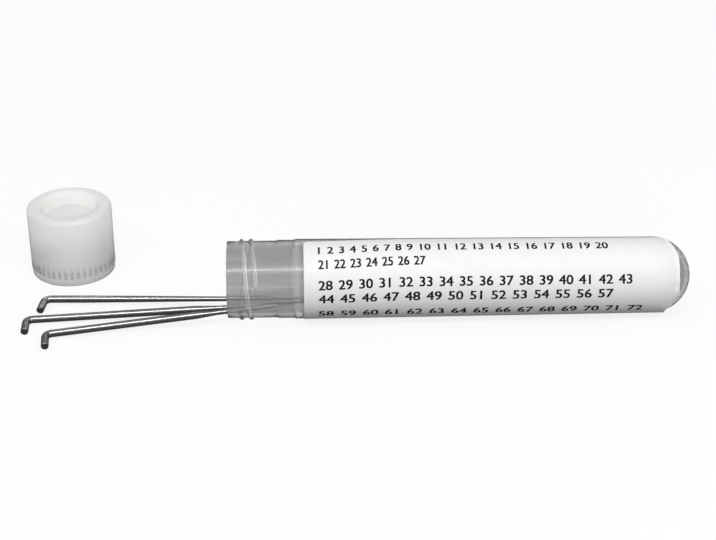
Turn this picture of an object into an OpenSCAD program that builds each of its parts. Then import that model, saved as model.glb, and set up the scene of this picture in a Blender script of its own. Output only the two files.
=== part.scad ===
// Three cranked felting needles half drawn out of a clear storage tube that lies on its side, with its paper
// label, and the tube's screw cap standing beside it. Millimetres, +Z up, tube along X with its mouth at -X.
// The origin is on the table under the middle of the set.

/* [Tube] */
// Length of the tube from the mouth to the tip of the round end
tube_len = 112.3; // [95:0.1:140]
// Outer radius of the neck
neck_r = 9.3; // [9:0.05:9.35]
// Inner radius of the bore at the mouth
mouth_bore_r = 8.4; // [8.2:0.05:8.6]
// Inner radius of the bore at the round end
end_bore_r = 8.15; // [7.8:0.05:8.25]
// Outer radius of the body just behind the neck
body_r = 9.64; // [9.55:0.01:9.68]
// Outer radius at the round end, smaller than the body by the mould's draft
end_r = 9.2; // [9:0.05:9.4]
// Distance from the mouth to the shoulder where the body starts
shoulder_x = 16.3; // [15:0.1:18]
// Distance from the mouth to the faint step of the neck
step_x = 12; // [10:0.1:13]
// How far the step stands out of the neck
step_h = 0.15; // [0.05:0.05:0.2]
// Rounding of the mouth's edges
lip_round = 0.3; // [0.1:0.05:0.35]

/* [Thread] */
// Radius of the crest of the neck's thread
thread_r = 9.8; // [9.78:0.01:9.84]
// Distance that a start moves along the tube in one turn
thread_lead = 4.55; // [4:0.05:5.2]
// Distance from the mouth to the middle of each start
thread_x = 3; // [2.5:0.1:3.5]
// Angle that each start wraps round the neck
thread_wrap = 330; // [270:5:350]
// Angle at which the first start begins
thread_a0 = 205.6; // [0:0.1:360]
// Width of a ridge at its foot
thread_foot = 0.9; // [0.7:0.05:1.1]
// Width of a ridge at its crest
thread_crest = 0.35; // [0.2:0.05:0.5]

/* [Label] */
// Distance from the mouth to the label's near edge
label_x = 18.4; // [17:0.1:30]
// Angle by which the label's far edge wraps onto the round end
label_wrap = 35; // [20:1:60]
// Thickness of the paper
label_t = 0.1; // [0.06:0.01:0.1]
// Thickness of the adhesive under the paper
label_glue = 0.02; // [0.01:0.01:0.03]
// Angle where the label starts, at the top of the tube
label_a0 = 80; // [60:1:80]
// Angle that the label covers, round the front of the tube
label_a = 180; // [120:1:180]

/* [Cap] */
// Outer radius of the cap
cap_r = 10.6; // [10.55:0.05:11.4]
// Height of the cap
cap_h = 18; // [17:0.1:18.8]
// Rounding of the cap's top edge
cap_round = 1.3; // [0.8:0.1:1.6]
// Inner radius of the skirt
skirt_r = 9.92; // [9.9:0.01:9.95]
// Thickness of the top
cap_top = 1.3; // [1:0.1:1.6]
// Radius of the well in the top
well_r = 7; // [6.5:0.1:7.1]
// Depth of the well at its rim
well_d = 3.6; // [2.5:0.1:4.5]
// Radius of the raised disc in the well's floor
disc_r = 5.7; // [5:0.1:6]
// How far the disc stands above the floor round it
disc_h = 0.6; // [0.3:0.1:0.8]
// Outer radius of the plug, which seals the tube's bore
plug_r = 8.15; // [8:0.05:8.2]
// Thickness of the plug's floor
plug_floor = 1.2; // [1:0.1:1.5]
// Radius of the crest of the cap's inner thread
cap_thread_r = 9.45; // [9.42:0.01:9.48]
// Number of grip grooves round the lower band
grip_n = 42; // [36:1:48]
// Depth of a grip groove at its lower end
grip_d = 0.38; // [0.2:0.02:0.4]
// Width of a grip groove
grip_w = 0.95; // [0.7:0.05:1]
// Height of the plain ring under the grooves
grip_z = 1.6; // [1.2:0.1:2]
// Height of a groove's deep lower part
grip_deep_h = 1.7; // [1.2:0.1:2]
// Height of the part where a groove runs out
grip_fade_h = 2.6; // [1.5:0.1:3.5]
// Where the cap stands along the tube
cap_x = -40.5; // [-60:0.1:-35]
// Where the cap stands across the tube
cap_y = 26.2; // [24:0.1:60]

/* [Needles] */
// Radius of the shank, 15 gauge wire
shank_r = 0.915; // [0.8:0.005:0.95]
// Radius of the middle section, 18 gauge
mid_r = 0.6; // [0.5:0.01:0.62]
// Radius over the corners of the three-sided blade
blade_r = 0.4; // [0.3:0.01:0.45]
// Distance from the crank's axis to the point
needle_len = 88; // [76:0.5:95]
// Length of the crank, from the shank's axis to its cut end
crank_len = 5.7; // [5:0.1:7]
// Radius of the bend, at the wire's axis
bend_r = 1.6; // [1.2:0.1:2.5]
// Chamfer of the crank's cut end
cut_c = 0.12; // [0.05:0.01:0.2]
// Length of the three-sided blade
blade_len = 30; // [25:1:33]
// Length of the ground point
point_len = 3.2; // [2:0.1:4]
// Distance along the blade from one barb to the next on the same corner
barb_pitch = 6.4; // [5:0.1:7]
// Depth of a barb
barb_d = 0.12; // [0.06:0.01:0.14]
// Length of a barb's throat
barb_len = 0.7; // [0.4:0.05:1]
// Where each needle's crank lies along the tube
head_x = [-45.6, -48.9, -43.5];
// Where each needle's crank lies across the tube
head_y = [7.9, -2.25, -9.3];
// Direction of each needle, seen from above
needle_dir = [-6, 2.6, 5.9];
// Where each needle's shank starts to get thinner
taper_x = [10, 40.5, 36];
// Where each needle has reached the middle section
taper_end = [44, 46.5, 41];
// Turn of each blade about its own axis
blade_turn = [0, 180, 40];
// Clearance between a needle and the lip that it lies on
lip_gap = 0.05; // [0.03:0.01:0.1]

/* [Hidden] */
$fn = 96;
e = 0.01;
end_ball_r = end_r + 0.02;
end_x = tube_len - end_ball_r;
end_bore_ball = end_bore_r + 0.02;
wall_end = end_ball_r - end_bore_ball;
// The tube lies on its thread and on its round end, and the label ends just short of the table
rest_x = thread_x + thread_lead * 0.5;
tilt = asin((thread_r - end_ball_r) / (end_x - rest_x));
mouth_z = thread_r * cos(tilt) + rest_x * sin(tilt);
// How far each needle has come when it passes the mouth, and how high it must lie there to clear the lip
function pass_y(i) = head_y[i] - head_x[i] * tan(needle_dir[i]);
function pass_z(i) = mouth_z - sqrt(pow(mouth_bore_r - mid_r - lip_gap, 2) - pow(pass_y(i), 2));
function run(i) = -head_x[i] / cos(needle_dir[i]);
function slope(i) = atan((pass_z(i) - shank_r) / run(i));
// The middle of the set, measured from cap or crank to the tube's tip, and from crank to cap
left_x = min(cap_x - cap_r, head_x[1] + bend_r * (cos(needle_dir[1]) + sin(needle_dir[1])) - bend_r - shank_r);
right_x = end_x * cos(tilt) + end_ball_r;
front_y = head_y[2] - crank_len * cos(needle_dir[2]) - (shank_r - cut_c) * sin(needle_dir[2]);
back_y = cap_y + cap_r;
mid = [(left_x + right_x) / 2, (front_y + back_y) / 2, 0];
cap_thread_x = 7.2;

// Rows of points of a ridge that climbs along X while it turns, running out at both ends
function ridge_row(i, n, a0, x0, lead, wrap, foot_r, crest_r) =
    let (a = a0 + wrap * i / n, x = x0 + lead * (wrap * i / n) / 360,
        h = min(1, i / 3, (n - i) / 3), c = foot_r + (crest_r - foot_r) * max(h, 0.12))
    [for (p = [[-thread_foot, foot_r], [-thread_crest, c], [thread_crest, c], [thread_foot, foot_r]])
        [x + p[0] / 2, p[1] * cos(a), p[1] * sin(a)]];

// One ridge of a thread about X: foot_r is buried in the wall, crest_r is in the air
module ridge(a0, x0, lead, wrap, foot_r, crest_r, n = 44) {
    pts = [for (i = [0:n]) each ridge_row(i, n, a0, x0, lead, wrap, foot_r, crest_r)];
    sides = [for (i = [0:n - 1]) for (k = [0:3]) let (p = 4 * i + k, q = 4 * i + (k + 1) % 4)
        each [[p, q, q + 4], [p, q + 4, p + 4]]];
    ends = [[0, 3, 2], [0, 2, 1], [4 * n, 4 * n + 1, 4 * n + 2], [4 * n, 4 * n + 2, 4 * n + 3]];
    faces = concat(sides, ends);
    outward = crest_r > foot_r;
    polyhedron(pts, outward ? faces : [for (f = faces) [f[2], f[1], f[0]]]);
}

// Places what is drawn along X from the mouth into the tube's lying position
module in_tube() {
    translate([0, 0, mouth_z] - mid) rotate([0, tilt, 0]) children();
}

// Solid of revolution about X from a profile of [x, r] points
module turned(profile) {
    rotate([0, 90, 0]) rotate_extrude() polygon([for (p = profile) [p[1], p[0]]]);
}

// One moulding: neck with a stepped foot, drafted body, round end, bore and two thread starts
module vial_tube() {
    color([0.62, 0.64, 0.64, 0.6]) in_tube() {
        difference() {
            union() {
                turned([[0, 0], [0, neck_r - lip_round], [lip_round, neck_r], [step_x, neck_r],
                    [step_x + step_h, neck_r + step_h], [shoulder_x - 0.1, neck_r + step_h],
                    [shoulder_x, body_r - 0.08], [shoulder_x + 0.08, body_r], [end_x, end_r], [end_x, 0]]);
                translate([end_x, 0, 0]) sphere(end_ball_r);
                for (s = [0, 180])
                    ridge(thread_a0 + s, thread_x, thread_lead, thread_wrap, neck_r - 0.25, thread_r);
            }
            turned([[-1, 0], [-1, mouth_bore_r + lip_round], [0, mouth_bore_r + lip_round],
                [lip_round, mouth_bore_r], [end_x, end_bore_r], [end_x, 0]]);
            translate([end_x, 0, 0]) sphere(end_bore_ball);
        }
    }
}

// One sheet of paper that follows the drafted body and laps onto the round end
module tube_label() {
    r0 = body_r - (body_r - end_r) * (label_x - shoulder_x) / (end_x - shoulder_x);
    low = label_glue;
    high = label_glue + label_t;
    color([0.95, 0.95, 0.95]) in_tube() rotate([label_a0, 0, 0]) rotate([90, 0, 90])
        rotate_extrude(angle = label_a)
        union() {
            polygon([[r0 + low, label_x], [r0 + high, label_x],
                [end_r + high + 0.02, end_x], [end_r + low + 0.02, end_x]]);
            intersection() {
                translate([0, end_x]) difference() {
                    circle(end_ball_r + high);
                    circle(end_ball_r + low);
                }
                polygon([[2, end_x], [20, end_x], [20, end_x + 20 * tan(label_wrap)],
                    [2, end_x + 2 * tan(label_wrap)]]);
            }
        }
}

// A groove that is deep below and runs out upwards, pointing at the cap's axis
module grip_groove() {
    top = grip_z + grip_deep_h + grip_fade_h;
    translate([0, grip_w / 2, 0]) rotate([90, 0, 0]) linear_extrude(grip_w)
        polygon([[cap_r - grip_d, grip_z], [cap_r + 1, grip_z], [cap_r + 1, top],
            [cap_r, top], [cap_r - 0.16, grip_z + grip_deep_h + 0.1], [cap_r - grip_d, grip_z + grip_deep_h]]);
}

// One moulding, standing with its closed end up: skirt with grip grooves and inner thread, plug with a well
module screw_cap() {
    ceiling = cap_h - cap_top;
    floor_z = cap_h - well_d - plug_floor;
    color([0.9, 0.91, 0.91, 0.8]) translate([cap_x, cap_y, 0] - mid) {
        difference() {
            rotate_extrude() union() {
                polygon([[0, floor_z], [plug_r - 0.6, floor_z], [plug_r, floor_z + 1.2], [plug_r, ceiling],
                    [skirt_r, ceiling], [skirt_r, 0.3], [skirt_r + 0.15, 0], [cap_r - 0.3, 0],
                    [cap_r - 0.2, 0.12], [cap_r, grip_z - 0.1],
                    [cap_r, cap_h - cap_round], [cap_r - cap_round, cap_h - cap_round],
                    [cap_r - cap_round, cap_h], [well_r + 0.6, cap_h], [well_r + 0.15, cap_h - 0.2],
                    [well_r, cap_h - 0.6], [well_r - 0.1, cap_h - well_d + 0.4],
                    [well_r - 0.5, cap_h - well_d], [disc_r + 0.4, cap_h - well_d],
                    [disc_r, cap_h - well_d + disc_h], [0, cap_h - well_d + disc_h]]);
                intersection() {
                    translate([cap_r - cap_round - 0.02, cap_h - cap_round - 0.02]) circle(cap_round + 0.02);
                    translate([cap_r - cap_round - 0.5, cap_h - cap_round - 0.5]) square(cap_round + 0.5);
                }
            }
            for (i = [0:grip_n - 1]) rotate(i * 360 / grip_n) grip_groove();
        }
        translate([0, 0, ceiling]) rotate([0, 90, 0]) for (s = [0, 180])
            ridge(s, cap_thread_x, thread_lead, thread_wrap - 60, skirt_r + 0.2, cap_thread_r);
    }
}

// A notch in a corner of the blade whose steep side faces the point
module barb(x) {
    translate([0, 0.5, 0]) rotate([90, 0, 0]) linear_extrude(1)
        polygon([[x, blade_r + 0.2], [x, blade_r - barb_d], [x + barb_len, blade_r + 0.02],
            [x + barb_len, blade_r + 0.2]]);
}

// One wire: crank, bend, shank, taper, middle section and a three-sided barbed blade with a ground point
module felting_needle(i) {
    blade_x = needle_len - blade_len;
    translate([head_x[i], head_y[i], shank_r] - mid) rotate([0, -slope(i), needle_dir[i]]) {
        translate([0, -bend_r, 0]) rotate([90, 0, 0]) {
            cylinder(r = shank_r, h = crank_len - bend_r - cut_c);
            translate([0, 0, crank_len - bend_r - cut_c])
                cylinder(r1 = shank_r, r2 = shank_r - cut_c, h = cut_c);
        }
        translate([bend_r, -bend_r, 0]) rotate_extrude(angle = 90, start = 90)
            translate([bend_r, 0]) circle(shank_r);
        translate([bend_r, 0, 0]) rotate([0, 90, 0]) cylinder(r = shank_r, h = taper_x[i] - bend_r);
        translate([taper_x[i], 0, 0]) rotate([0, 90, 0])
            cylinder(r1 = shank_r, r2 = mid_r, h = taper_end[i] - taper_x[i]);
        translate([taper_end[i], 0, 0]) rotate([0, 90, 0])
            cylinder(r = mid_r, h = blade_x - taper_end[i] - 2.5);
        translate([blade_x - 2.5, 0, 0]) rotate([0, 90, 0]) cylinder(r1 = mid_r, r2 = blade_r * 0.55, h = 3.5);
        rotate([blade_turn[i], 0, 0]) difference() {
            intersection() {
                translate([blade_x - 1.5, 0, 0]) rotate([0, 90, 0])
                    rotate(180) cylinder(r = blade_r, h = blade_len + 1.5, $fn = 3);
                union() {
                    translate([blade_x - 2, 0, 0]) rotate([0, 90, 0])
                        cylinder(r = blade_r + 0.1, h = blade_len + 2 - point_len + e);
                    translate([needle_len - point_len, 0, 0]) rotate([0, 90, 0])
                        cylinder(r1 = blade_r + 0.1, r2 = 0.03, h = point_len);
                }
            }
            for (k = [0:2]) rotate([120 * k, 0, 0]) for (j = [0:2])
                barb(needle_len - 6.5 - barb_pitch * (j + k / 3));
        }
    }
}

module felting_needle_1() { color("silver") felting_needle(0); }
module felting_needle_2() { color("silver") felting_needle(1); }
module felting_needle_3() { color("silver") felting_needle(2); }

vial_tube();
tube_label();
screw_cap();
felting_needle_1();
felting_needle_2();
felting_needle_3();
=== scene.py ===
import math
import bpy
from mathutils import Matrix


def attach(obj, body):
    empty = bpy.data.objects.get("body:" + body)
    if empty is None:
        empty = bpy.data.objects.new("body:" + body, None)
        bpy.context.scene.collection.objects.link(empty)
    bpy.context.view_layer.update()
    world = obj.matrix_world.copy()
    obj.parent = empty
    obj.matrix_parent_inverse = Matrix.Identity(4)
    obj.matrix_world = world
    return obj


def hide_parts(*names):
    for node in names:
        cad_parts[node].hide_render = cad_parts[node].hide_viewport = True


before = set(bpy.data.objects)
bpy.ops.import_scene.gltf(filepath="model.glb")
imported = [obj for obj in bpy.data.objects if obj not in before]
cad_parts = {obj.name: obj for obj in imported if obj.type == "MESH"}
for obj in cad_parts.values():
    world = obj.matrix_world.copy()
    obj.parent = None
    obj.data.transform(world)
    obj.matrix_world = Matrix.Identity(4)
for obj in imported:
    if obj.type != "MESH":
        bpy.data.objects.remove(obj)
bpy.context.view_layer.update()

# Camera
# The set is seen from the front and from a little above, along the tube's side.
# The lens is long enough that the tube's two ends come out nearly the same height.
MM = 0.001
lens_px, picture_px = 1700, 716
camera_data = bpy.data.cameras.new("camera")
camera_data.sensor_width = 36
camera_data.lens = lens_px / picture_px * camera_data.sensor_width
camera = bpy.data.objects.new("camera", camera_data)
camera.location = (-12.429 * MM, -372.324 * MM, 207.23 * MM)
camera.rotation_euler = (math.radians(90 - 28.38), 0, math.radians(-2.12))
bpy.context.scene.collection.objects.link(camera)
bpy.context.scene.camera = camera

# Tube
# The vial is one moulding in clear plastic that is slightly grey: a thin wall with a round end, a shoulder,
# a faint step and a neck with a two-start thread. It is modelled standing on its mouth, as it would be
# turned on a lathe, then laid on the table, where it rests on its thread and its round end.
neck_r, body_r, end_r, bore_r, end_bore_r = 9.3, 9.64, 9.22, 8.4, 8.17
shoulder_x, end_x, tube_len = 16.7, 103.08, 112.3
thread_lead, thread_wrap, thread_from, thread_z = 4.55, 330, 295.6, 3
tube_tilt = 0.3397755
tube_mouth = (-30.599094, -10.874237, 9.831109)


def quarter(cx, cz, radius, first, last, steps):
    """Points of an arc in the profile, from one angle to another, in degrees"""
    turn = [math.radians(first + (last - first) * i / steps) for i in range(steps + 1)]
    return [(cx + radius * math.cos(t), cz + radius * math.sin(t)) for t in turn]


def choose(piece, wanted, kind="VERT"):
    """In edit mode, selects just the points, or the faces by their middles, that pass a test in mm"""
    bpy.ops.object.mode_set(mode="EDIT")
    bpy.ops.mesh.select_mode(type=kind)
    bpy.ops.mesh.select_all(action="DESELECT")
    bpy.ops.object.mode_set(mode="OBJECT")
    mesh = piece.data
    if kind == "VERT":
        for v in mesh.vertices:
            v.select = wanted(v.co / MM)
    else:
        for f in mesh.polygons:
            f.select = wanted(f.center / MM)
    bpy.ops.object.mode_set(mode="EDIT")


def draw_line(name, points):
    """Starts a piece as one point and extrudes it on through a profile of (radius, height) in the XZ plane"""
    bpy.ops.object.select_all(action="DESELECT")
    bpy.ops.mesh.primitive_plane_add(size=MM, location=(0, 0, 0))
    piece = bpy.context.object
    piece.name = piece.data.name = name
    bpy.ops.object.mode_set(mode="EDIT")
    bpy.ops.mesh.select_mode(type="VERT")
    bpy.ops.mesh.merge(type="CENTER")
    bpy.ops.transform.translate(value=(points[0][0] * MM, 0, points[0][1] * MM))
    for (r0, z0), (r1, z1) in zip(points, points[1:]):
        bpy.ops.mesh.extrude_region_move(
            TRANSFORM_OT_translate={"value": ((r1 - r0) * MM, 0, (z1 - z0) * MM)})
    return piece


def turn_on_lathe(name, points, steps):
    """A closed solid of revolution about Z, from a profile that starts and ends on the axis"""
    piece = draw_line(name, points)
    bpy.ops.mesh.select_all(action="SELECT")
    bpy.ops.mesh.spin(steps=steps, angle=2 * math.pi, center=(0, 0, 0), axis=(0, 0, 1))
    bpy.ops.mesh.select_all(action="SELECT")
    bpy.ops.mesh.remove_doubles(threshold=0.002 * MM)
    bpy.ops.mesh.normals_make_consistent(inside=False)
    bpy.ops.object.mode_set(mode="OBJECT")
    return piece


def thread_start(name, section, start, wrap, height):
    """One start of a right-hand thread about Z: a section screwed round the axis and sunk at both ends"""
    ridge = draw_line(name, section)
    bpy.ops.mesh.select_all(action="SELECT")
    bpy.ops.mesh.edge_face_add()
    bpy.ops.mesh.delete(type="ONLY_FACE")
    bpy.ops.object.mode_set(mode="OBJECT")
    screw = ridge.modifiers.new("screw", "SCREW")
    screw.axis = "Z"
    screw.angle = math.radians(wrap)
    screw.screw_offset = thread_lead * wrap / 360 * MM
    screw.steps = screw.render_steps = 72
    bpy.ops.object.modifier_apply(modifier=screw.name)
    foot = section[0][0]
    for v in ridge.data.vertices:
        radius = math.hypot(v.co.x, v.co.y) / MM
        done = math.degrees(math.atan2(v.co.y, v.co.x)) % 360 / wrap
        run_out = min(1, done / 0.07, (1 - done) / 0.07)
        sunk = foot + (radius - foot) * max(0.12, run_out)
        v.co.x *= sunk / radius
        v.co.y *= sunk / radius
    bpy.ops.object.mode_set(mode="EDIT")
    bpy.ops.mesh.select_all(action="SELECT")
    bpy.ops.mesh.fill_holes(sides=0)
    bpy.ops.mesh.select_all(action="SELECT")
    bpy.ops.mesh.remove_doubles(threshold=0.0005 * MM)
    bpy.ops.mesh.normals_make_consistent(inside=False)
    bpy.ops.transform.translate(value=(0, 0, height * MM))
    bpy.ops.transform.rotate(value=-math.radians(start), orient_axis="Z", center_override=(0, 0, 0))
    bpy.ops.object.mode_set(mode="OBJECT")
    return ridge


def weld(piece, *parts):
    """Joins moulded-on parts to a piece as one skin"""
    bpy.context.view_layer.objects.active = piece
    for part in parts:
        union = piece.modifiers.new("weld", "BOOLEAN")
        union.operation = "UNION"
        union.solver = "EXACT"
        union.object = part
        bpy.ops.object.modifier_apply(modifier=union.name)
        bpy.data.objects.remove(part)


def pick(piece):
    """Selects one piece alone"""
    bpy.ops.object.select_all(action="DESELECT")
    piece.select_set(True)
    bpy.context.view_layer.objects.active = piece


def settle(piece, place, turn):
    """Moves a finished piece to its place in millimetres and turn in degrees, and leaves both in its mesh"""
    pick(piece)
    piece.rotation_euler = [math.radians(a) for a in turn]
    piece.location = [p * MM for p in place]
    bpy.ops.object.transform_apply(location=True, rotation=True, scale=True)


def smooth(piece, angle):
    """Shades a piece smooth except along edges sharper than the angle"""
    pick(piece)
    bpy.ops.object.shade_smooth_by_angle(angle=math.radians(angle))


outside = [(0, tube_len), (0.5, tube_len)] + quarter(0, end_x, end_r, 86, 0, 26)
outside += [(9.43, 60), (body_r, shoulder_x), (body_r - 0.03, 16.4), (9.55, 16.27), (9.46, 16.15)]
outside += [(9.45, 15.9), (9.45, 12.3), (9.43, 12.16), (9.32, 12.02), (neck_r, 11.85), (neck_r, 0.3)]
lip = [(9.26, 0.15), (9.15, 0.04), (9, 0), (8.7, 0), (8.55, 0.04), (8.44, 0.14), (bore_r, 0.3)]
inside = [(8.3, 50)] + quarter(0, end_x, end_bore_r, 0, 88, 20) + [(0, end_x + end_bore_r)]
vial = turn_on_lathe("vial", outside + lip + inside, 128)

ridge_section = [(9.05, -0.5), (9.4, -0.46), (9.62, -0.36), (9.76, -0.2), (9.8, 0)]
ridge_section += [(9.76, 0.2), (9.62, 0.36), (9.4, 0.46), (9.05, 0.5)]
turns = (thread_from, thread_from + 180)
weld(vial, *[thread_start("thread", ridge_section, turn, thread_wrap, thread_z) for turn in turns])
# Marks the ridges for the material's painted light: whatever stands out from the neck between the mouth and
# the step
step_z = 11
raised = vial.data.attributes.new("raised", "FLOAT", "POINT")
for i, v in enumerate(vial.data.vertices):
    raised.data[i].value = math.hypot(v.co.x, v.co.y) > (neck_r + 0.06) * MM and v.co.z < step_z * MM
settle(vial, tube_mouth, (0, 90 + tube_tilt, 0))
smooth(vial, 32)


def adder(tree):
    """A short way to add a node to a tree with its inputs and properties set"""
    def add(kind, **settings):
        node = tree.nodes.new(kind)
        for key, value in settings.items():
            if key in node.inputs:
                node.inputs[key].default_value = value
            else:
                setattr(node, key, value)
        return node

    return add


def new_finish(name):
    """A node material, its tree, its Principled shader and the short way to add its nodes"""
    finish = bpy.data.materials.new(name)
    finish.use_nodes = True
    tree = finish.node_tree
    return finish, tree, tree.nodes["Principled BSDF"], adder(tree)


def spread(add, tree, source, low, high, first=0.3, last=0.7):
    """Turns a pattern's values between first and last into values between low and high"""
    node = add("ShaderNodeMapRange")
    node.inputs["From Min"].default_value = first
    node.inputs["From Max"].default_value = last
    node.inputs["To Min"].default_value = low
    node.inputs["To Max"].default_value = high
    tree.links.new(source, node.inputs["Value"])
    return node.outputs["Result"]


def noise(add, tree, vector, scale, detail):
    """An uneven pattern over the places that a vector gives"""
    node = add("ShaderNodeTexNoise", Scale=scale, Detail=detail)
    tree.links.new(vector, node.inputs["Vector"])
    return node.outputs["Fac"]


def two_tones(add, tree, pattern, first, dark, last, light):
    """Turns a pattern's values into colours, from dark at the first value to light at the last"""
    node = add("ShaderNodeValToRGB")
    for point, at, colour in zip(node.color_ramp.elements, (first, last), (dark, light)):
        point.position = at
        point.color = (*colour, 1)
    tree.links.new(pattern, node.inputs["Fac"])
    return node.outputs["Color"]


def add_relief(add, tree, shader, pattern, strength, distance):
    """Gives a surface the fine relief of a pattern, its distance in millimetres"""
    node = add("ShaderNodeBump", Strength=strength, Distance=distance * MM)
    tree.links.new(pattern, node.inputs["Height"])
    tree.links.new(node.outputs["Normal"], shader.inputs["Normal"])


# Clear plastic: one wall takes some light and greys what is behind it, with soft flow marks along the tube.
# The thread's ridges and the shoulder are painted paler than the plain wall, as painted light where they
# gather light.
clear_plastic, tree, shader, add = new_finish("clear_plastic")
shader.inputs["Transmission Weight"].default_value = 0.92
shader.inputs["IOR"].default_value = 1.36
shader.inputs["Specular Tint"].default_value = (0.3, 0.3, 0.3, 1)
shader.inputs["Coat Weight"].default_value = 0.5
shader.inputs["Coat Roughness"].default_value = 0.26
place = add("ShaderNodeTexCoord")
flow = add("ShaderNodeMapping", Scale=(0.12, 1, 1))
tree.links.new(place.outputs["Object"], flow.inputs["Vector"])
marks = noise(add, tree, flow.outputs["Vector"], 500, 3)
cloud = noise(add, tree, place.outputs["Object"], 160, 2)
tree.links.new(spread(add, tree, cloud, 0.06, 0.09), shader.inputs["Roughness"])
tone = two_tones(add, tree, marks, 0.3, (0.505, 0.502, 0.495), 0.7, (0.605, 0.602, 0.595))
ridge = add("ShaderNodeAttribute", attribute_name="raised")
parts = add("ShaderNodeSeparateXYZ")
tree.links.new(place.outputs["Object"], parts.inputs["Vector"])
# The shoulder's band of painted light, placed as parts of the tube's first 20 mm from the mouth
shoulder = add("ShaderNodeValToRGB")
for at, shade in ((0.8, 0), (0.815, 0.25), (0.865, 0.25), (0.89, 0)):
    shoulder.color_ramp.elements.new(at).color = (shade, shade, shade, 1)
shoulder.color_ramp.elements[-1].color = (0, 0, 0, 1)
first_x, last_x = tube_mouth[0] * MM, (tube_mouth[0] + 20) * MM
tree.links.new(spread(add, tree, parts.outputs["X"], 0, 1, first_x, last_x), shoulder.inputs["Fac"])
most = add("ShaderNodeMath", operation="MAXIMUM")
tree.links.new(ridge.outputs["Fac"], most.inputs[0])
tree.links.new(shoulder.outputs["Color"], most.inputs[1])
# The ridges and the shoulder band get a paler colour: painted light
painted_light = add("ShaderNodeMix", data_type="RGBA")
tree.links.new(most.outputs["Value"], painted_light.inputs[0])
tree.links.new(tone, painted_light.inputs[6])
painted_light.inputs[7].default_value = (0.95, 0.95, 0.95, 1)
tree.links.new(painted_light.outputs[2], shader.inputs["Base Color"])
add_relief(add, tree, shader, marks, 0.06, 0.02)
vial.data.materials.append(clear_plastic)
# The lamps' light goes through the plastic to the needles inside and to the label's back
vial.visible_shadow = False
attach(vial, "tube")
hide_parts("vial_tube")

# Label
# The label is a sheet of white self-adhesive paper with rounded corners, stuck half round the tube.
# Over the round end its lower part runs straight on, and the rest puckers and lifts its rim.
# It is cut flat, with X along the tube and Y down round it, and then laid on with its thickness outwards.
label_x, label_end, label_top, label_wide, label_r = 18.4, 108.6, 80, 30.1, 9.6
glue, paper_thick = 0.02, 0.1


def ease(value, first, last):
    """Goes softly from 0 at the first value to 1 at the last"""
    t = min(1, max(0, (value - first) / (last - first)))
    return t * t * (3 - 2 * t)


def on_tube(u, s, lift):
    """The place on the tube of a point u along it and s round it from the label's upper edge, in mm"""
    a = math.radians(label_top) + s / label_r
    # The upper edge isn't straight: it starts 5.5 degrees lower and then runs 2.5 degrees higher
    a += math.radians(5.5 - 8 * ease(u, 18, 46)) * (1 - s / label_wide)
    w = max(0, u - end_x) / (end_r + lift)
    x = min(u, end_x) + (end_r + lift) * math.sin(w)
    r = body_r - (body_r - end_r) * max(0, min(u, end_x) - shoulder_x) / (end_x - shoulder_x)
    r = (r + lift) * math.cos(w)
    return x * MM, r * math.cos(a) * MM, r * math.sin(a) * MM


def stand_off(u, s):
    """How far the paper stands off the tube over the round end: its lower part runs straight on, and the
    rest puckers, lifts a little along the edge and has one crease"""
    straight_on = end_r / math.cos(max(0, u - end_x) / end_r) - end_r
    waves = 0.08 + 0.04 * math.sin(s * 1.9 + 0.4)
    puckered = waves * ease(u, end_x + 1, label_end) + 0.16 * ease(u, label_end - 1.7, label_end)
    below = s - 24.7 + 1.2 * (u - end_x)
    crease = max(0, 1 - (below / 0.8 if below > 0 else -below / 3.5))
    low = ease(s, 20, 24)
    return straight_on * low + puckered * (1 - low) + 0.16 * crease * ease(u, end_x + 1, end_x + 4)


def cut_strips(piece, axis, places):
    """Cuts a flat piece straight through at each place, so that it can be bent there"""
    bpy.ops.object.mode_set(mode="EDIT")
    for at in places:
        bpy.ops.mesh.select_all(action="SELECT")
        co, no = [0, 0, 0], [0, 0, 0]
        co[axis], no[axis] = at * MM, 1
        bpy.ops.mesh.bisect(plane_co=co, plane_no=no)
    bpy.ops.object.mode_set(mode="OBJECT")


bpy.ops.mesh.primitive_plane_add(size=MM, location=((label_x + label_end) / 2 * MM, -label_wide / 2 * MM, 0))
label = bpy.context.object
label.name = label.data.name = "paper_label"
label.scale = (label_end - label_x, label_wide, 1)
bpy.ops.object.transform_apply(location=True, rotation=True, scale=True)
bpy.ops.object.mode_set(mode="EDIT")
bpy.ops.mesh.select_all(action="SELECT")
bpy.ops.mesh.bevel(affect="VERTICES", offset=1.5 * MM, segments=8)
bpy.ops.object.mode_set(mode="OBJECT")
cut_strips(label, 1, [-0.4 * i for i in range(1, 76)])
cut_strips(label, 0, [label_x + 2 * i for i in range(1, 43)] + [end_x + 0.4 * i for i in range(1, 12)])
cut_strips(label, 0, [label_end - 0.2 * i for i in range(1, 5)])
# The far edge isn't square: its ends stop short of its middle, and its rim bends outwards
for v in label.data.vertices:
    u, s = v.co.x / MM, -v.co.y / MM
    rim = 0.32 * ease(u, label_end - 1, label_end + 0.3) * (1 - ease(s, 18, 21))
    short = 2.2 * (1 - ease(s, 0, 8)) + 2.9 * ease(s, 19, 24)
    u -= short * ease(u, end_x - 4, label_end)
    v.co = on_tube(u, s, glue + stand_off(u, s) + rim)
bpy.ops.object.mode_set(mode="EDIT")
bpy.ops.mesh.select_all(action="SELECT")
bpy.ops.mesh.normals_make_consistent(inside=False)
bpy.ops.object.mode_set(mode="OBJECT")
middle = label.data.polygons[len(label.data.polygons) // 2]
if middle.normal.dot((0, middle.center.y, middle.center.z)) < 0:
    label.data.flip_normals()
paper = label.modifiers.new("thickness", "SOLIDIFY")
paper.thickness = paper_thick * MM
paper.offset = 1
bpy.ops.object.modifier_apply(modifier=paper.name)
settle(label, tube_mouth, (0, tube_tilt, 0))
smooth(label, 40)

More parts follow.
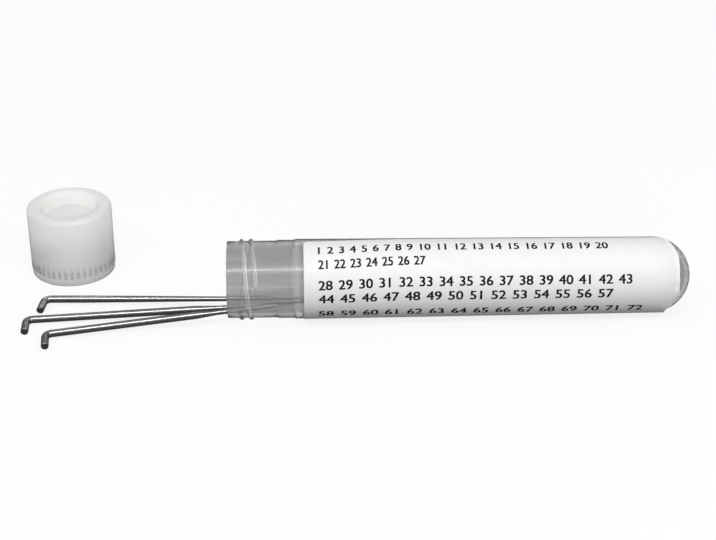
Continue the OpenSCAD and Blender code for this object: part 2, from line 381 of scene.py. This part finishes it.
# Coated paper: faint fibres and a weak mottle, and a soft sheen that the fibres break up
label_paper, tree, shader, add = new_finish("label_paper")
place = add("ShaderNodeTexCoord")
stretch = add("ShaderNodeMapping", Scale=(0.5, 1, 1))
tree.links.new(place.outputs["Object"], stretch.inputs["Vector"])
fibres = noise(add, tree, stretch.outputs["Vector"], 3800, 4)
mottle = noise(add, tree, place.outputs["Object"], 260, 3)
both = add("ShaderNodeMath", operation="MULTIPLY")
tree.links.new(fibres, both.inputs[0])
tree.links.new(mottle, both.inputs[1])
root = add("ShaderNodeMath", operation="SQRT")
tree.links.new(both.outputs["Value"], root.inputs[0])
tone = two_tones(add, tree, root.outputs["Value"], 0.3, (0.89, 0.892, 0.892), 0.7, (0.93, 0.93, 0.925))
tree.links.new(tone, shader.inputs["Base Color"])
tree.links.new(spread(add, tree, fibres, 0.42, 0.6), shader.inputs["Roughness"])
add_relief(add, tree, shader, fibres, 0.25, 0.006)
label.data.materials.append(label_paper)
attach(label, "tube")
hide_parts("tube_label")

# Numbers
# Five rows of plain counted numbers are printed on the label in black ink, in two pairs and one more row.
# Each row is set flat, cut into strips as narrow as the tube's curve asks, and laid on the paper.

# A row: its first and last number, where it ends along the tube, and how far round its baseline is
rows = [(1, 20, 91.4, 5.15), (21, 27, 47.3, 9.2), (28, 43, 96.6, 14.35), (44, 57, 92.2, 17.9)]
rows += [(58, 72, 99.8, 22.95)]
# Each row is struck four times for weight: moved along, moved round, and lifted off the tube's surface
strikes = ((-0.08, -0.04, 0.128), (0.08, -0.04, 0.131), (-0.08, 0.04, 0.134), (0.08, 0.04, 0.137))
row_x, number_size, strip = 21.9, 3.25, 0.3
number_rows = []
for low, high, row_end, base in rows:
    bpy.ops.object.text_add(location=(0, 0, 0))
    row = bpy.context.object
    row.data.body = " ".join(str(number) for number in range(low, high + 1))
    row.data.size = number_size * MM
    row.data.space_word = 1.35
    row.data.resolution_u = 3
    bpy.ops.object.convert(target="MESH")
    row = bpy.context.object
    row.scale.x = (row_end - row_x) / (row.dimensions.x / MM)
    row.location = (row_x * MM - min(v.co.x for v in row.data.vertices) * row.scale.x, -base * MM, 0)
    bpy.ops.object.transform_apply(location=True, rotation=True, scale=True)
    cut_strips(row, 1, [-base + strip * i for i in range(9)])
    copies = [row]
    for i in range(len(strikes) - 1):
        bpy.ops.object.duplicate()
        copies.append(bpy.context.object)
    for copy, (along, around, lift) in zip(copies, strikes):
        for v in copy.data.vertices:
            v.co = on_tube(v.co.x / MM + along, -v.co.y / MM + around, lift)
        number_rows.append(copy)
bpy.ops.object.select_all(action="DESELECT")
for row in number_rows:
    row.select_set(True)
bpy.context.view_layer.objects.active = number_rows[0]
bpy.ops.object.join()
print_rows = bpy.context.object
print_rows.name = print_rows.data.name = "label_numbers"
settle(print_rows, tube_mouth, (0, tube_tilt, 0))

# Black ink that the paper takes up unevenly, a little grey where a stroke is thin of ink
ink, tree, shader, add = new_finish("label_ink")
shader.inputs["Specular IOR Level"].default_value = 0.15
place = add("ShaderNodeTexCoord")
uneven = noise(add, tree, place.outputs["Object"], 2600, 3)
tone = two_tones(add, tree, uneven, 0.35, (0.004, 0.004, 0.004), 0.7, (0.025, 0.025, 0.025))
tree.links.new(tone, shader.inputs["Base Color"])
tree.links.new(spread(add, tree, uneven, 0.45, 0.65), shader.inputs["Roughness"])
print_rows.data.materials.append(ink)
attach(print_rows, "tube")

# Cap
# The screw cap is one moulding in milky plastic. It stands on the table with its closed end up: a skirt
# with short grip grooves low down, a thread inside, and a plug with a round well that seals the tube's bore.
cap_r, cap_h, groove_r = 10.6, 18, 10.22
grip_n, groove_steps = 42, 5
groove_low, groove_mid, groove_top = 1.85, 3.65, 6.2
cap_thread_wrap, cap_thread_z = 270, 6.1
cap_place = (-71.099094, 15.325763, 0)
# The profile goes from the middle of the plug out to the rim, up the skirt, over the top and into the well
under = [(0, 13.2), (7.4, 13.2), (7.6, 13.3), (8.15, 14.4), (8.15, 16.7), (8.8, 16.7), (8.8, 16.2)]
under += [(9.92, 16.2), (9.92, 0.3), (10.07, 0)]
skirt = [(10.3, 0), (10.4, 0.12)]
skirt += [(cap_r, z) for z in (groove_low - 0.1, groove_low, groove_mid - 0.2, groove_mid, groove_top, 11)]
top = quarter(9.3, 16.7, 1.3, 0, 90, 9)
top += [(8.5, cap_h), (7.9, 17.96), (7.45, 17.82), (7.15, 17.56), (7.02, 17.2)]
well = [(6.92, 15), (6.82, 14.65), (6.55, 14.44), (6.2, 14.4), (6, 14.48), (5.78, 14.86), (5.6, 14.97)]
well += [(5.3, 15), (0, 15)]
cap = turn_on_lathe("cap", under + skirt + top + well, grip_n * groove_steps)

# The grooves: three of every five faces round the skirt go in, most at their lower end, and run out upwards
step = 360 / (grip_n * groove_steps)
bpy.ops.object.mode_set(mode="EDIT")
bpy.ops.mesh.select_all(action="SELECT")
bpy.ops.transform.rotate(value=math.radians(step / 2), orient_axis="Z", center_override=(0, 0, 0))


def in_groove(c):
    """Whether a face's middle is on the skirt where a groove is"""
    place = round(math.degrees(math.atan2(c.y, c.x)) / step) % groove_steps
    return math.hypot(c.x, c.y) > 10.5 and groove_low < c.z < groove_top and place in (4, 0, 1)


choose(cap, in_groove, "FACE")
bpy.ops.mesh.extrude_region_move(TRANSFORM_OT_translate={"value": (0, 0, 0)})
deep = groove_r / cap_r
bpy.ops.transform.resize(value=(deep, deep, 1), center_override=(0, 0, 0))
for height, radius in ((groove_mid, 10.42), (groove_top, 10.59)):
    choose(cap, lambda c: abs(math.hypot(c.x, c.y) - groove_r) < 0.1 and abs(c.z - height) < 0.02)
    out = radius / groove_r
    bpy.ops.transform.resize(value=(out, out, 1), center_override=(0, 0, 0))
bpy.ops.object.mode_set(mode="OBJECT")

ridge_section = [(10.12, -0.45), (9.7, -0.3), (9.45, -0.15), (9.45, 0.15), (9.7, 0.3), (10.12, 0.45)]
turns = (0, 180)
weld(cap, *[thread_start("cap_thread", ridge_section, turn, cap_thread_wrap, cap_thread_z) for turn in turns])
settle(cap, cap_place, (0, 0, 0))
smooth(cap, 35)

# Milky plastic: light comes through it so scattered that nothing shows clearly behind, under a smooth skin
cap_plastic, tree, shader, add = new_finish("cap_plastic")
shader.inputs["IOR"].default_value = 1.35
shader.inputs["Coat Weight"].default_value = 0.3
shader.inputs["Coat Roughness"].default_value = 0.04
shader.inputs["Sheen Weight"].default_value = 0.3
shader.inputs["Sheen Roughness"].default_value = 0.5
place = add("ShaderNodeTexCoord")
milk = noise(add, tree, place.outputs["Object"], 180, 3)
tone = two_tones(add, tree, milk, 0.3, (0.962, 0.957, 0.95), 0.7, (0.987, 0.98, 0.97))
# Painted shade in the grooves: low on the skirt, the distance from the axis shows how deep a point is, and
# the groove floors are painted darker
flat = add("ShaderNodeVectorMath", operation="MULTIPLY")
flat.inputs[1].default_value = (1, 1, 0)
tree.links.new(place.outputs["Object"], flat.inputs[0])
axis = add("ShaderNodeVectorMath", operation="DISTANCE")
axis.inputs[1].default_value = [p * MM for p in cap_place]
tree.links.new(flat.outputs["Vector"], axis.inputs[0])
groove_shade = add("ShaderNodeValToRGB")
groove_shade.color_ramp.elements[0].color = (1, 1, 1, 1)
for at, shade in ((0.2, 1), (0.25, 0.62), (0.55, 0.62), (0.92, 1)):
    groove_shade.color_ramp.elements.new(at).color = (shade, shade, shade, 1)
tree.links.new(spread(add, tree, axis.outputs["Value"], 0, 1, 10 * MM, cap_r * MM), groove_shade.inputs["Fac"])
# The skirt is painted greyer towards its rim, as painted shade for the one thin wall below the plug, and the
# top scatters most
level = add("ShaderNodeSeparateXYZ")
tree.links.new(place.outputs["Object"], level.inputs["Vector"])
# The painted groove shade stays on the skirt's lower part only
groove = add("ShaderNodeMath", operation="MAXIMUM")
tree.links.new(groove_shade.outputs["Color"], groove.inputs[0])
tree.links.new(spread(add, tree, level.outputs["Z"], 0, 1, 6 * MM, 8 * MM), groove.inputs[1])
shade = add("ShaderNodeMath", operation="MULTIPLY")
tree.links.new(groove.outputs["Value"], shade.inputs[0])
tree.links.new(spread(add, tree, level.outputs["Z"], 0.66, 1, 3 * MM, 13 * MM), shade.inputs[1])
seen_through = spread(add, tree, level.outputs["Z"], 0.92, 0.6, 15 * MM, 17 * MM)
tree.links.new(seen_through, shader.inputs["Transmission Weight"])
# The milky tone times the painted shade in the grooves and towards the rim
milk_and_painted_shade = add("ShaderNodeMix", data_type="RGBA", blend_type="MULTIPLY")
milk_and_painted_shade.inputs[0].default_value = 1
tree.links.new(tone, milk_and_painted_shade.inputs[6])
tree.links.new(shade.outputs["Value"], milk_and_painted_shade.inputs[7])
tree.links.new(milk_and_painted_shade.outputs[2], shader.inputs["Base Color"])
tree.links.new(spread(add, tree, milk, 0.66, 0.74), shader.inputs["Roughness"])
add_relief(add, tree, shader, noise(add, tree, place.outputs["Object"], 2200, 3), 0.08, 0.01)
cap.data.materials.append(cap_plastic)
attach(cap, "cap")
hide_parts("screw_cap")

# Needles
# Each needle is one steel wire with a short crank bent square at its end. The shank is ground thinner to a
# middle section, and the front is pressed to a three-sided blade with barbs cut in its corners and a point.
# They lie half drawn out of the tube, with their cranks flat on the table and their shanks on the tube's lip.
shank_r, mid_r, blade_r, flat_r = 0.915, 0.6, 0.4, 0.2
needle_len, crank_len, bend_r, point_len, chamfer = 88, 5.7, 1.6, 3.2, 0.12
barb_first, barb_pitch, barb_len, barb_deep = 6.5, 6.4, 0.7, 0.12
needles = [
    dict(place=(-76.199094, -2.974237, 0.915), slope=2.2684486, heading=-6, taper=(10, 44), turn=0),
    dict(place=(-79.499094, -13.124237, 0.915), slope=1.3647228, heading=2.6, taper=(40.5, 46.5), turn=180),
    dict(place=(-74.099094, -20.174237, 0.915), slope=3.7094182, heading=5.9, taper=(36, 41), turn=40)]


def barb_starts(corner):
    """Where the three barbs in one of the blade's corners begin"""
    return [needle_len - barb_first - barb_pitch * (j + corner / 3) for j in range(3)]


def barb_depth(corner, x):
    """How deep a corner of the blade is cut at x: each barb is square behind and slopes to the front"""
    for start in barb_starts(corner):
        if start <= x < start + barb_len:
            return barb_deep * (1 - (x - start) / barb_len)
    return 0


def make_needle(name, taper, blade_turn):
    """The needle lying along X from its crank's axis, with the crank along -Y"""
    ring_r = shank_r - chamfer
    bpy.ops.mesh.primitive_circle_add(vertices=36, radius=ring_r * MM, fill_type="NGON",
                                      location=(0, -crank_len * MM, 0), rotation=(math.pi / 2, 0, 0))
    needle = bpy.context.object
    bpy.ops.object.transform_apply(location=True, rotation=True, scale=True)
    needle.name = needle.data.name = name
    bpy.ops.object.mode_set(mode="EDIT")
    bpy.ops.mesh.select_mode(type="FACE")
    bpy.ops.mesh.select_all(action="SELECT")

    def grow(along, across, radius):
        """Draws the wire on from its end face, along X and Y, to a new radius"""
        nonlocal ring_r
        bpy.ops.mesh.extrude_region_move(TRANSFORM_OT_translate={"value": (along * MM, across * MM, 0)})
        needle.update_from_editmode()
        ring = [v.co for v in needle.data.vertices if v.select]
        middle = sum(ring, start=ring[0] * 0) / len(ring)
        bpy.ops.transform.resize(value=(radius / ring_r,) * 3, center_override=middle)
        ring_r = radius

    grow(0, 0.05, shank_r - 0.05)
    grow(0, chamfer - 0.05, shank_r)
    grow(0, 1.2, shank_r)
    grow(0, crank_len - bend_r - 1.2 - chamfer, shank_r)
    bpy.ops.mesh.spin(steps=10, angle=math.pi / 2, center=(bend_r * MM, -bend_r * MM, 0), axis=(0, 0, 1))
    at = bend_r
    stops = [(3, shank_r)] + [(x, shank_r) for x in range(5, int(taper[0]), 5)] + [(taper[0], shank_r)]
    for t in [i / 8 for i in range(1, 9)]:
        stops.append((taper[0] + (taper[1] - taper[0]) * t, shank_r + (mid_r - shank_r) * t))
    stops += [(x, mid_r) for x in (52, 55.5) if x > taper[1] + 1]
    for x, radius in stops:
        grow(x - at, 0, radius)
        at = x
    # The blade: rings of the wire pressed onto a three-sided section, with a ring at each end of each barb
    marks = {56.5, 57.5, 58.5, 60}
    for start in barb_starts(0) + barb_starts(1) + barb_starts(2):
        marks |= {start - 0.03, start, start + barb_len / 2, start + barb_len}
    marks |= {needle_len - back for back in (4, point_len, 2, 1, 0.4, 0)}
    for x in sorted(marks):
        bpy.ops.mesh.extrude_region_move(TRANSFORM_OT_translate={"value": ((x - at) * MM, 0, 0)})
        at = x
        pressed = ease(x, 55.5, 58.5)
        ground = 1 if x < needle_len - point_len else max(0.06, (needle_len - x) / point_len)
        bpy.ops.object.mode_set(mode="OBJECT")
        for v in needle.data.vertices:
            if not v.select:
                continue
            angle = math.atan2(v.co.z, v.co.y) - math.radians(blade_turn)
            corner = round(math.degrees(angle) / 120) % 3
            off = angle - round(angle / math.radians(120)) * math.radians(120)
            side = flat_r / math.cos(math.radians(60) - abs(off))
            edge = blade_r - 0.02 - barb_depth(corner, x)
            radius = mid_r + (min(side, edge) * ground - mid_r) * pressed
            now = math.hypot(v.co.y, v.co.z)
            v.co.y *= radius * MM / now
            v.co.z *= radius * MM / now
        bpy.ops.object.mode_set(mode="EDIT")
    bpy.ops.object.mode_set(mode="OBJECT")
    # Where each point is on the straight wire, for the drawing marks: along it, and across it two ways
    wire = needle.data.attributes.new("wire", "FLOAT_VECTOR", "POINT")
    for i, v in enumerate(needle.data.vertices):
        x, y, z = v.co / MM
        if y < -bend_r:
            wire.data[i].vector = (y, x, z)
        elif x < bend_r:
            turn = math.atan2(y + bend_r, bend_r - x)
            wire.data[i].vector = (-bend_r + bend_r * turn, math.hypot(bend_r - x, bend_r + y) - bend_r, z)
        else:
            wire.data[i].vector = (x, y, z)
    bpy.ops.object.mode_set(mode="EDIT")
    bpy.ops.mesh.select_all(action="SELECT")
    bpy.ops.mesh.remove_doubles(threshold=0.0005 * MM)
    bpy.ops.mesh.normals_make_consistent(inside=False)
    bpy.ops.object.mode_set(mode="OBJECT")
    return needle


# Polished steel wire: fine marks along it, a duller crank where the bending tool held it, a dark cut end
needle_steel, tree, shader, add = new_finish("needle_steel")
shader.inputs["Metallic"].default_value = 1
shader.inputs["Specular Tint"].default_value = (0.5, 0.5, 0.5, 1)
own = add("ShaderNodeAttribute", attribute_name="wire")
along = add("ShaderNodeMapping", Scale=(0.02, 1, 1))
tree.links.new(own.outputs["Vector"], along.inputs["Vector"])
drawn = noise(add, tree, along.outputs["Vector"], 9, 4)
patches = noise(add, tree, own.outputs["Vector"], 1.3, 3)
parts = add("ShaderNodeSeparateXYZ")
tree.links.new(own.outputs["Vector"], parts.inputs["Vector"])
crank = spread(add, tree, parts.outputs["X"], 1, 0, -1.2, 1.2)
cut_end = spread(add, tree, parts.outputs["X"], 1, 0, -crank_len + 0.02, -crank_len + 0.16)
tone = two_tones(add, tree, drawn, 0.35, (0.48, 0.48, 0.49), 0.65, (0.58, 0.58, 0.58))
dull = add("ShaderNodeMix", data_type="RGBA")
tree.links.new(crank, dull.inputs[0])
tree.links.new(tone, dull.inputs[6])
dull.inputs[7].default_value = (0.52, 0.52, 0.53, 1)
dark = add("ShaderNodeMix", data_type="RGBA")
tree.links.new(cut_end, dark.inputs[0])
tree.links.new(dull.outputs[2], dark.inputs[6])
dark.inputs[7].default_value = (0.3, 0.3, 0.305, 1)
tree.links.new(dark.outputs[2], shader.inputs["Base Color"])
rough = add("ShaderNodeMix", data_type="FLOAT")
tree.links.new(crank, rough.inputs[0])
tree.links.new(spread(add, tree, patches, 0.225, 0.24), rough.inputs[2])
rough.inputs[3].default_value = 0.36
tree.links.new(rough.outputs[0], shader.inputs["Roughness"])
add_relief(add, tree, shader, drawn, 0.006, 0.008)

for number, lie in enumerate(needles, 1):
    needle = make_needle(f"needle_{number}", lie["taper"], lie["turn"])
    settle(needle, (0, 0, 0), (0, -lie["slope"], 0))
    settle(needle, lie["place"], (0, 0, lie["heading"]))
    smooth(needle, 35)
    needle.data.materials.append(needle_steel)
    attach(needle, f"needle_{number}")
    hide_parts(f"felting_needle_{number}")

# Floor and light
# A plain table that runs out to white, with three long lights along the set: a wide soft one, a narrow strip
# that draws the bright line along steel and plastic, and a low fill from the front that isn't mirrored.
# The camera and what is seen through the plastic get white, and the table keeps a soft shadow.
bpy.ops.mesh.primitive_plane_add(size=6, location=(0, 0, -0.02 * MM))
floor = bpy.context.object
floor.name = "floor"
table, tree, shader, add = new_finish("table")
shader.inputs["Roughness"].default_value = 0.9
shader.inputs["Specular IOR Level"].default_value = 0.1
ray = add("ShaderNodeLightPath")
seen = add("ShaderNodeMath", operation="MAXIMUM")
tree.links.new(ray.outputs["Is Camera Ray"], seen.inputs[0])
tree.links.new(ray.outputs["Is Transmission Ray"], seen.inputs[1])
tree.links.new(spread(add, tree, seen.outputs["Value"], 0.1, 0.9, 0, 1), shader.inputs["Base Color"])
part = add("ShaderNodeMath", operation="MULTIPLY")
part.inputs[1].default_value = 0.8
tree.links.new(seen.outputs["Value"], part.inputs[0])
white = add("ShaderNodeEmission", Color=(1, 1, 1, 1), Strength=1.03)
veil = add("ShaderNodeMixShader")
tree.links.new(part.outputs["Value"], veil.inputs["Fac"])
tree.links.new(shader.outputs["BSDF"], veil.inputs[1])
tree.links.new(white.outputs["Emission"], veil.inputs[2])
tree.links.new(veil.outputs["Shader"], tree.nodes["Material Output"].inputs["Surface"])
floor.data.materials.append(table)

world = bpy.data.worlds.new("surround")
bpy.context.scene.world = world
world.use_nodes = True
tree = world.node_tree
add = adder(tree)
ray = add("ShaderNodeLightPath")
seen = add("ShaderNodeMath", operation="MAXIMUM")
tree.links.new(ray.outputs["Is Camera Ray"], seen.inputs[0])
tree.links.new(ray.outputs["Is Transmission Ray"], seen.inputs[1])
# The room lights the set evenly, and mirrored it is darker, with more light towards the top
way = add("ShaderNodeTexCoord")
parts = add("ShaderNodeSeparateXYZ")
tree.links.new(way.outputs["Generated"], parts.inputs["Vector"])
mirrored = add("ShaderNodeMix")
tree.links.new(ray.outputs["Is Glossy Ray"], mirrored.inputs[0])
tree.links.new(spread(add, tree, parts.outputs["Z"], 0.08, 0.3, 0, 1), mirrored.inputs[3])
mirrored.inputs[2].default_value = 0.5
level = add("ShaderNodeMix")
tree.links.new(seen.outputs["Value"], level.inputs[0])
tree.links.new(mirrored.outputs[0], level.inputs[2])
level.inputs[3].default_value = 1
tree.links.new(level.outputs[0], tree.nodes["Background"].inputs["Strength"])
tree.nodes["Background"].inputs["Color"].default_value = (1, 1, 1, 1)

lamps = [("softbox", 1.2, 0.9, 43), ("strip_light", 0.12, 4.8, 34), ("front_fill", 0.6, 3.4, 84)]
for name, wide, power, lean in lamps:
    light = bpy.data.lights.new(name, "AREA")
    light.shape = "RECTANGLE"
    light.size, light.size_y, light.energy = 1.3, wide, power
    lamp = bpy.data.objects.new(name, light)
    lean = math.radians(lean)
    lamp.location = (0.02, -math.sin(lean), math.cos(lean))
    lamp.rotation_euler = (lean, 0, 0)
    lamp.visible_glossy = name != "front_fill"
    bpy.context.scene.collection.objects.link(lamp)

bpy.context.scene.view_settings.view_transform = "Standard"
